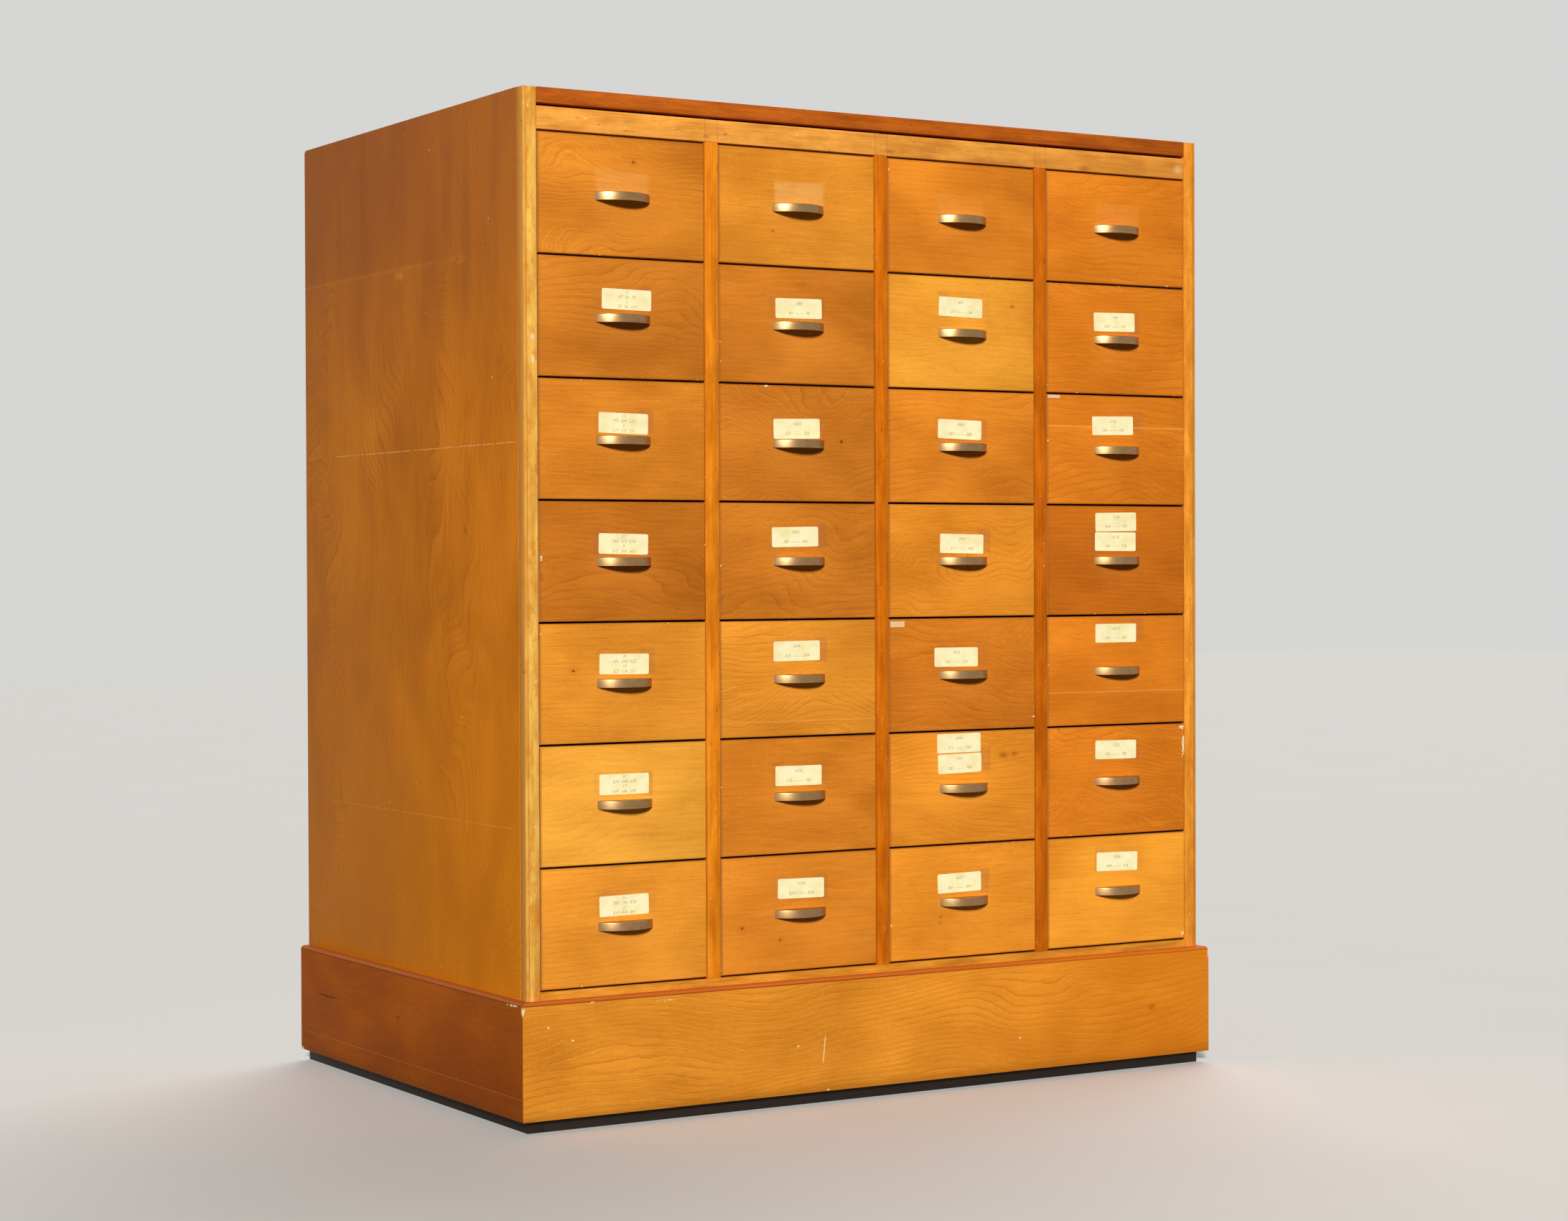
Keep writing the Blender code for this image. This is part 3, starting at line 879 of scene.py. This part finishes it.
def make_top():
    """The top board and the reddish strip along its front edge."""
    skin = veneer("top_veneer", srgb(190, 108, 34), "xy", (4.4, 1.8, 0.9), top_figure, top_marks)
    red_strip = solid_wood("red_fir_strip", red_tone, "x", (0.7, 0.2, 0.4), 0.8, 0.12, red_marks)
    low = (top_low.x, lip_back, top_low.z)
    main_board = board("top_board", low, top_high, skin)
    low = (top_low.x, front_y, top_low.z - strip_overhang)
    high = (top_high.x, lip_back - glue_line, top_high.z)
    board("top_edge_strip", low, high, red_strip, strip_arris)
    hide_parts("top_panel")


def make_skirt():
    """Three skirt boards, mitred at the front corners."""
    left, right, front = plinth_low.x, plinth_high.x, plinth_low.y
    along_x, along_y = skirt_marks("x"), skirt_marks("y")
    face = veneer("skirt_front_veneer", skirt_tone, "xz", (6.1, 0.3, 2.2), skirt_figure, along_x)
    flank = veneer(
        "skirt_side_veneer", skirt_side_tone, "yz", (0.6, 4.4, 1.7), skirt_side_figure, along_y
    )
    for kind, low, high, material, outside in (
        ("front", (left, front), (right, front_y - fit), face, lambda at: at.y < front + fit),
        ("left", (left, front), (case_left - fit, back_y), flank, lambda at: at.x < left + fit),
        ("right", (case_right + fit, front), (right, back_y), flank, lambda at: at.x > right - fit),
    ):
        bm = bmesh.new()
        box_mesh(bm, (*low, skirt_clearance), (*high, plinth_top), 0)
        top = edges_where(bm, lambda at: outside(at) and at.z > plinth_top - fit)
        eased(bm, top, skirt_round, 5)
        foot = edges_where(bm, lambda at: outside(at) and at.z < skirt_clearance + fit)
        eased(bm, foot, arris)
        for side, corner, sideways in (("left", left, -1), ("right", right, 1)):
            if kind in ("front", side):
                away = Vector((sideways, 1, 0)) * (1 if kind == "front" else -1)
                mitred(bm, Vector((corner, front, 0)) - away * glue_line, away)
        new_piece(f"skirt_{kind}", bm, [material], smooth=35)


def make_plinth():
    """The skirt, round a base frame of softwood boards."""
    make_skirt()
    bm = bmesh.new()
    head = case_foot - fit
    left, right = case_left + frame_board, case_right - frame_board
    for low_x, high_x in ((case_left, left), (right, case_right)):
        box_mesh(bm, (low_x, front_y, 0), (high_x, back_y, head))
    for low_y in (front_y, back_y - frame_board):
        box_mesh(bm, (left, low_y, 0), (right, low_y + frame_board, head))
    for bearer in range(bearer_count):
        x = case_left + (bearer + 1) * (case_right - case_left) / (bearer_count + 1) - frame_board / 2
        low = (x, front_y + frame_board, 0)
        box_mesh(bm, low, (x + frame_board, back_y - frame_board, head))
    # The base frame's lower part is painted near-black: painted shade under the skirt.
    base_wood = raw_wood("base_softwood", srgb(150, 108, 68), "x", (3, 1, 2), floor_shade=0.97)
    base = new_piece("base_frame", bm, [base_wood], smooth=40)
    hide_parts("plinth")


def make_back():
    """The back stays the CAD board, with a plain plywood face; pins hold it."""
    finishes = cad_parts["back_panel"].data.materials
    finishes.clear()
    finishes.append(raw_wood("back_plywood", raw_tone, "z", (0.5, 0.2, 0.9), 0.9))
    steel = Finish("pin_steel", metallic=1.0)
    rust = steel.noise((900, 900, 900), 2.0)
    tone = steel.mix(rust, srgb(96, 84, 74), srgb(150, 140, 130))
    steel.paint(base_color=tone, roughness=0.4 + rust * 0.2)
    height = back_high.z - back_low.z
    count = round(height / pin_pitch)
    spots = []
    for index in range(count + 1):
        z = back_low.z + pin_inset + index * (height - 2 * pin_inset) / count
        spots += [(back_low.x + pin_inset, z), (back_high.x - pin_inset, z)]
    for number in range(1, columns):
        x = bay_left(number) - panel / 2
        spots += [(x, back_low.z + index * height / count) for index in range(1, count, 2)]
    bm = bmesh.new()
    towards_back = Matrix.Rotation(-math.pi / 2, 4, "X")
    for x, z in spots:
        bmesh.ops.create_cone(
            bm,
            cap_ends=True,
            segments=12,
            radius1=pin_radius,
            radius2=pin_radius * 0.7,
            depth=pin_head,
            matrix=Matrix.Translation((x, back_y + pin_head / 2, z)) @ towards_back,
        )
    new_piece("back_pins", bm, [steel.material])


def grooved_section(outer, inner, foot):
    """Section of a drawer side: rounded on top, with the runner's groove on its outer face."""
    outwards = 1 if outer > inner else -1
    top = foot + box_lift + box_height
    groove_top = foot + runner_level + fit
    groove_foot = foot + runner_level - runner_height - groove_play
    points = [
        (inner, foot + box_lift),
        (outer, foot + box_lift),
        (outer, groove_foot),
        (outer - outwards * groove_depth, groove_foot),
        (outer - outwards * groove_depth, groove_top),
        (outer, groove_top),
    ]
    turns = [math.pi / 2 * step / round_steps for step in range(round_steps + 1)]
    for edge, way, order in ((outer, -outwards, turns), (inner, outwards, turns[::-1])):
        for turn in order:
            x = edge + way * side_round * (1 - math.cos(turn))
            points.append((x, top - side_round * (1 - math.sin(turn))))
    return points


def pull_base():
    """The cup pull's shell, made once at the origin: a half-moon stamping with rounded edges."""
    low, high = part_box("pull_r1_c1")
    width = high.x - low.x
    projection = face_y - low.y
    height = high.z - low.z
    depth = projection - fit
    radius = ((width / 2) ** 2 + depth**2) / (2 * depth)
    bm = bmesh.new()
    bmesh.ops.create_circle(bm, cap_ends=True, radius=radius, segments=320)
    bmesh.ops.translate(bm, verts=bm.verts, vec=(0, radius - projection, 0))
    cut_by_plane(bm, (0, -fit, 0), (0, 1, 0))
    pushed(bm, bm.faces[:], (0, 0, height), use_keep_orig=True)
    bmesh.ops.recalc_face_normals(bm, faces=bm.faces)
    upper = edges_where(bm, lambda at: at.z > height - fit)
    crown = [e for e in upper if any(v.co.y < -2 * fit for v in e.verts)]
    eased(bm, crown, pull_round, 4)
    open_faces = [
        f for f in bm.faces if f.normal.z < -0.9 or (f.normal.y > 0.9 and len(f.verts) >= 4)
    ]
    bmesh.ops.delete(bm, geom=open_faces, context="FACES")
    bmesh.ops.recalc_face_normals(bm, faces=bm.faces)
    if sum(f.normal.y * f.calc_area() for f in bm.faces) > 0:
        bmesh.ops.reverse_faces(bm, faces=bm.faces)
    bmesh.ops.solidify(bm, geom=bm.faces[:], thickness=pull_wall)
    return bm, radius, projection, height


def screw_head():
    """A slotted pan head, its seat at the origin and its crown towards +Y."""
    bm = bmesh.new()
    bmesh.ops.create_circle(bm, cap_ends=True, radius=screw_radius, segments=28)
    pushed(bm, bm.faces[:], (0, 0, screw_dome))
    crown = edges_where(bm, lambda at: at.z > screw_dome - fit)
    eased(bm, crown, screw_dome * 0.7, 4)
    for side in (-1, 1):
        cut_by_plane(bm, (side * screw_slot / 2, 0, 0), (1, 0, 0), clear_outer=False)
    bm.normal_update()
    strip = []
    for face in bm.faces:
        middle = face.calc_center_median()
        if middle.z > screw_dome - fit and abs(middle.x) < screw_slot / 2:
            strip.append(face)
    pushed(bm, strip, (0, 0, -screw_slot))
    bmesh.ops.delete(bm, geom=strip, context="FACES")
    towards_back = Matrix.Rotation(-math.pi / 2, 3, "X")
    bmesh.ops.rotate(bm, verts=bm.verts, cent=(0, 0, 0), matrix=towards_back)
    for face in bm.faces:
        face.material_index = 1
    return mesh_of(bm, "screw_head")


def joined(bm, mesh, offset):
    """Adds a mesh to a bmesh, moved by an offset."""
    before = len(bm.verts)
    bm.from_mesh(mesh)
    bm.verts.ensure_lookup_table()
    bmesh.ops.translate(bm, verts=bm.verts[before:], vec=offset)


def make_cup():
    """The pull's shell with its two bosses and screws, ready to be copied to every drawer."""
    bm, radius, projection, height = pull_base()
    screw = screw_head()
    for side in (-1, 1):
        x = side * boss_spacing / 2
        boss = bmesh.new()
        place = Matrix.Translation((x, -(projection + fit) / 2, 0))
        bmesh.ops.create_cone(
            boss,
            cap_ends=True,
            segments=24,
            radius1=boss_radius,
            radius2=boss_radius,
            depth=projection - fit,
            matrix=place @ Matrix.Rotation(math.pi / 2, 4, "X"),
        )
        middle = radius - pull_wall / 2
        slope = math.asin(x / middle)
        touch = Vector((x, radius - projection - middle * math.cos(slope), 0))
        mitred(boss, touch, Vector((math.sin(slope), -math.cos(slope), 0)))
        joined(bm, mesh_of(boss, "boss"), (0, 0, height / 2))
        joined(bm, screw, (x, panel, height / 2))
    return mesh_of(bm, "cup")


def bronze_finish():
    """Brushed bronze with fine lines, patches and knocked flakes."""
    f = Finish("brushed_bronze", metallic=1.0)
    lines = f.noise((30, 900, 2600), 3.0, 0.6)
    patch = f.noise((120, 120, 160), 3.0, 0.55)
    f.colour = f.mix(f.step(patch, 0.2, 0.8), srgb(166, 130, 86), srgb(182, 146, 100))
    f.stain(lines * 0.4, srgb(124, 90, 54))
    knocked = f.step(f.noise((210, 210, 420), 2.0, 0.6), 0.745, 0.765)
    f.stain(knocked * 0.8, srgb(246, 232, 210))
    f.rough = 0.31 + lines * 0.08 + knocked * 0.2
    f.height = lines * 0.6 + knocked
    return f.finished(0.00004, 0.5)


def paper_finish():
    """Cream card with fibres and yellow stains."""
    f = Finish("cream_paper", specular_ior_level=0.3)
    fibre = f.noise((900, 900, 1400), 3.0, 0.6)
    stain = f.noise((45, 45, 60), 3.0, 0.6)
    f.colour = f.mix(f.step(stain, 0.35, 0.75), srgb(252, 246, 200), srgb(244, 228, 168))
    f.stain(fibre * 0.25, srgb(234, 218, 164))
    f.rough = 0.62 + fibre * 0.15
    f.height = fibre
    return f.finished(0.00005, 0.5)


def make_finishes():
    """Finishes that many pieces share."""
    screw = Finish("zinc_screw", metallic=1.0)
    dull = screw.noise((700, 700, 700), 2.0)
    zinc = screw.mix(dull, srgb(150, 148, 140), srgb(196, 192, 182))
    screw.paint(base_color=zinc, roughness=0.3 + dull * 0.2)
    ink = Finish("faded_ink", roughness=0.7)
    fade = ink.noise((600, 600, 600), 2.0)
    ink.paint(base_color=ink.mix(fade, srgb(104, 86, 60), srgb(186, 168, 118)))
    tape = Finish("old_tape")
    torn = tape.noise((220, 220, 500))
    tape_tone = tape.mix(torn, srgb(214, 168, 112), srgb(246, 216, 168))
    tape.paint(base_color=tape_tone, roughness=0.35 + torn * 0.2)
    return {
        "bronze": bronze_finish(),
        "screw": screw.material,
        "card": paper_finish(),
        "ink": ink.material,
        "tape": tape.material,
        "edge": ply_edge("front_ply_edge", "y"),
        "box": raw_wood("drawer_box_maple", box_tone, "y", (1, 2, 3), 0.7),
        "box_back": raw_wood("drawer_back_maple", box_tone, "x", (4, 2, 3), 0.7),
        "bottom": raw_wood("drawer_bottom_ply", srgb(208, 158, 98), "x", (5, 6, 3), 0.8),
    }


# Labels as the photo places them: how far right of the drawer's middle and above its foot
label_places = {
    "r2_c1": [(0.0053, 0.0978)],
    "r3_c1": [(0.0001, 0.0948)],
    "r4_c1": [(-0.0006, 0.0957)],
    "r5_c1": [(-0.0003, 0.0972)],
    "r6_c1": [(-0.0010, 0.0986)],
    "r7_c1": [(-0.0018, 0.0984)],
    "r2_c2": [(0.0005, 0.0968)],
    "r3_c2": [(-0.0031, 0.0932)],
    "r4_c2": [(-0.0061, 0.1050)],
    "r5_c2": [(-0.0043, 0.1092)],
    "r6_c2": [(-0.0021, 0.0995)],
    "r7_c2": [(0.0009, 0.1050)],
    "r2_c3": [(-0.0031, 0.1085)],
    "r3_c3": [(-0.0050, 0.0973)],
    "r4_c3": [(-0.0023, 0.0965)],
    "r5_c3": [(-0.0117, 0.0968)],
    "r6_c3": [(-0.0077, 0.1333), (-0.0065, 0.1062)],
    "r7_c3": [(-0.0077, 0.0985)],
    "r2_c4": [(-0.0038, 0.0985)],
    "r3_c4": [(-0.0069, 0.1075)],
    "r4_c4": [(-0.0019, 0.1266), (-0.0027, 0.0996)],
    "r5_c4": [(-0.0023, 0.1250)],
    "r6_c4": [(-0.0028, 0.1160)],
    "r7_c4": [(-0.0012, 0.1130)],
}
# Bits of tape, placed as labels are, with their width and height
tape_bits = {
    "r3_c4": [(-0.1065, 0.1452, 0.020, 0.0042)],
    "r5_c3": [(-0.105, 0.1415, 0.022, 0.0075)],
}


def number_lines(seed):
    """Lines of plain numbers, as on an index label: four in the first column, else two."""
    first = 10 + seed * 37 % 890
    span = f"{first}  {'-' * 7}  {first + 12 + seed}"
    if seed % columns == 1:
        upper = f"{seed * 3}\n{first}  {first + 9}  {first + 31}"
        return f"{upper}\n{seed}\n{first + 32}  {first + 47}  {first + 60}"
    return f"{first * 7 % 9901}\n\n{span}"


def figures_mesh(name, seed):
    """Flat figures of a label, standing in the XZ plane just before the paper."""
    text = bpy.data.curves.new(name, "FONT")
    text.body = number_lines(seed)
    text.size = figure_height
    text.space_line = 1.06
    text.shear = 0.3
    text.offset = -figure_thinning
    text.resolution_u = 2
    text.align_x = "CENTER"
    text.align_y = "CENTER"
    holder = linked(name, text)
    bpy.context.view_layer.update()
    evaluated = holder.evaluated_get(bpy.context.evaluated_depsgraph_get())
    figures = bpy.data.meshes.new_from_object(evaluated)
    bpy.data.objects.remove(holder, do_unlink=True)
    before_paper = Matrix.Translation((0, -paper * 0.62, 0))
    figures.transform(before_paper @ Matrix.Rotation(math.pi / 2, 4, "X"))
    return figures


def make_label(name, x, z, turn, seed, body, finishes):
    """A rounded paper label with lines of plain numbers on it."""
    bm = bmesh.new()
    half = Vector((label_width, paper, label_height)) / 2
    box_mesh(bm, -half, half, 0)
    corners = [e for e in bm.edges if abs(e.verts[0].co.y - e.verts[1].co.y) > paper / 2]
    eased(bm, corners, label_corner, 5)
    figures = figures_mesh(name + "_number", seed)
    blank = set(bm.faces)
    bm.from_mesh(figures)
    for face in set(bm.faces) - blank:
        face.material_index = 1
    bpy.data.meshes.remove(figures)
    bmesh.ops.rotate(bm, verts=bm.verts, cent=(0, 0, 0), matrix=Matrix.Rotation(turn, 3, "Y"))
    bmesh.ops.translate(bm, verts=bm.verts, vec=(x, face_y - paper / 2, z))
    materials = [finishes["card"], finishes["ink"]]
    new_piece(name, bm, materials, body, outwards=False)


def make_front(place, row, column, low, high, finishes):
    """A drawer's plywood front, veneered on its face."""
    number = row * columns + column
    skin = veneer(
        f"front_{place}_veneer",
        lit(leaf_tones[leaf_rows[row][column]], 1.0, column_warmth[column]),
        "xz",
        (math.sin(number * 1.9) * 7 + number, 0.4 * number, math.cos(number * 1.3) * 6),
        leaf_figures[figure_rows[row][column]],
        front_marks(place, number, low, high),
    )
    bm = bmesh.new()
    box_mesh(bm, (low.x, face_y, low.z), (high.x, face_y + panel, high.z), 0)
    eased(bm, edges_where(bm, lambda at: at.y < face_y + fit), front_arris, 3)
    for face in bm.faces:
        face.material_index = 0 if face.normal.y < -0.35 else 2 if face.normal.y > 0.35 else 1
    materials = [skin, finishes["edge"], finishes["box_back"]]
    new_piece(f"front_{place}", bm, materials, f"drawer_{place}", smooth=35)


def make_box(place, low, high, finishes):
    """A drawer's grooved sides, back and bottom, as one piece."""
    foot, rear, start = low.z, high.y, face_y + panel
    left, right = low.x + box_side, high.x - box_side
    bottom = foot + box_lift + bottom_lift
    bm = bmesh.new()
    for outer, inner in ((low.x, left), (high.x, right)):
        section = grooved_section(outer, inner, foot)
        extruded(bm, [(x, start, z) for x, z in section], (0, rear - start, 0))
    back_top = foot + box_lift + box_height - back_drop
    boards = (
        ((left, rear - box_side, bottom + drawer_bottom), (right, rear, back_top), arris),
        ((left, start, bottom), (right, rear, bottom + drawer_bottom), 0),
    )
    for index, (board_low, board_high, ease) in enumerate(boards, 1):
        before = set(bm.faces)
        box_mesh(bm, board_low, board_high, ease)
        for face in set(bm.faces) - before:
            face.material_index = index
    materials = [finishes["box"], finishes["box_back"], finishes["bottom"]]
    body = f"drawer_{place}"
    box = new_piece(f"box_{place}", bm, materials, body, smooth=35)
    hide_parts(body)


def make_drawer(row, column, finishes, cup):
    """One drawer: veneered front, box, pull with its screws, labels and tape."""
    place = f"r{row + 1}_c{column + 1}"
    body = f"drawer_{place}"
    number = row * columns + column
    low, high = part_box(body)
    make_front(place, row, column, low, high, finishes)
    make_box(place, low, high, finishes)

    pull_low, pull_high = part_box(f"pull_{place}")
    bm = bmesh.new()
    joined(bm, cup, ((pull_low.x + pull_high.x) / 2, face_y, pull_low.z))
    metals = [finishes["bronze"], finishes["screw"]]
    pull = new_piece(f"cup_{place}", bm, metals, body, smooth=38)
    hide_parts(f"pull_{place}")

    centre, foot = (low.x + high.x) / 2, low.z
    for index, (right, above) in enumerate(label_places.get(place, [])):
        turn = 0.022 * math.sin(number * 3.3 + index)
        seed = number - columns + 1 + 100 * index
        name = f"label_{place}_{index + 1}"
        make_label(name, centre + right, foot + above, turn, seed, body, finishes)
    for index, (right, above, wide, tall) in enumerate(tape_bits.get(place, [])):
        x, z = centre + right, foot + above
        bm = bmesh.new()
        tape_low = (x - wide / 2, face_y - paper, z - tall / 2)
        box_mesh(bm, tape_low, (x + wide / 2, face_y, z + tall / 2), 0)
        new_piece(f"tape_{place}_{index + 1}", bm, [finishes["tape"]], body)


def make_floor():
    """A plain pale floor; rays that only light the object meet it darker."""
    bm = bmesh.new()
    bmesh.ops.create_grid(bm, x_segments=1, y_segments=1, size=floor_size)
    mesh = mesh_of(bm, "floor")
    pale = Finish("pale_floor", roughness=0.85, specular_ior_level=0.15)
    seen = pale.mix(pale.noise((3, 3, 3)), srgb(226, 226, 225), srgb(230, 230, 230))
    pale.paint(base_color=pale.mix(pale.shown(), srgb(88, 86, 83), seen))
    mesh.materials.append(pale.material)
    floor = linked("floor", mesh)


def make_sky():
    """A weak even sky, and the plain background that it shows."""
    world = bpy.data.worlds.new("pale_sky")
    bpy.context.scene.world = world
    world.use_nodes = True
    sky = Nodes(world.node_tree)
    sky.tree.nodes.remove(sky.tree.nodes["Background"])
    warm, grey = (1.0, 0.985, 0.96), (0.67, 0.67, 0.66)
    light = sky.node("ShaderNodeBackground", None, {"Color": warm, "Strength": sky_strength})
    plain = sky.node("ShaderNodeBackground", None, {"Color": grey, "Strength": 1.0})
    either = sky.node("ShaderNodeMixShader", None, {0: sky.shown(), 1: light, 2: plain})
    sky.feed(sky.tree.nodes["World Output"].inputs["Surface"], either)


def make_stage():
    """The floor, a key and a fill lamp, the sky, and the camera at the photo's angle."""
    make_floor()
    for name, azimuth, elevation, width, strength in lamps:
        lamp = bpy.data.lights.new(name, "SUN")
        lamp.angle = math.radians(width)
        lamp.energy = strength
        lamp.color = (1.0, 0.975, 0.93)
        holder = linked(name, lamp)
        turn, rise = math.radians(azimuth), math.radians(elevation)
        flat = math.cos(rise)
        way = Vector((math.sin(turn) * flat, -math.cos(turn) * flat, math.sin(rise)))
        holder.location = way * 5
        holder.rotation_euler = (-way).to_track_quat("-Z", "Y").to_euler()
    make_sky()

    camera = bpy.data.cameras.new("camera")
    camera.sensor_width = 36.0
    camera.lens = 70.99
    camera.clip_end = 60.0
    holder = linked("camera", camera)
    pose = Matrix.Translation(camera_place)
    for degrees, axis in camera_turns:
        pose = pose @ Matrix.Rotation(math.radians(degrees), 4, axis)
    holder.matrix_world = pose
    bpy.context.scene.camera = holder
    bpy.context.scene.view_settings.view_transform = "Standard"


make_stage()
make_case()
make_runners()
make_top()
make_plinth()
make_back()
shared_finishes = make_finishes()
cup = make_cup()
for drawer_row in range(rows):
    for drawer_column in range(columns):
        make_drawer(drawer_row, drawer_column, shared_finishes, cup)
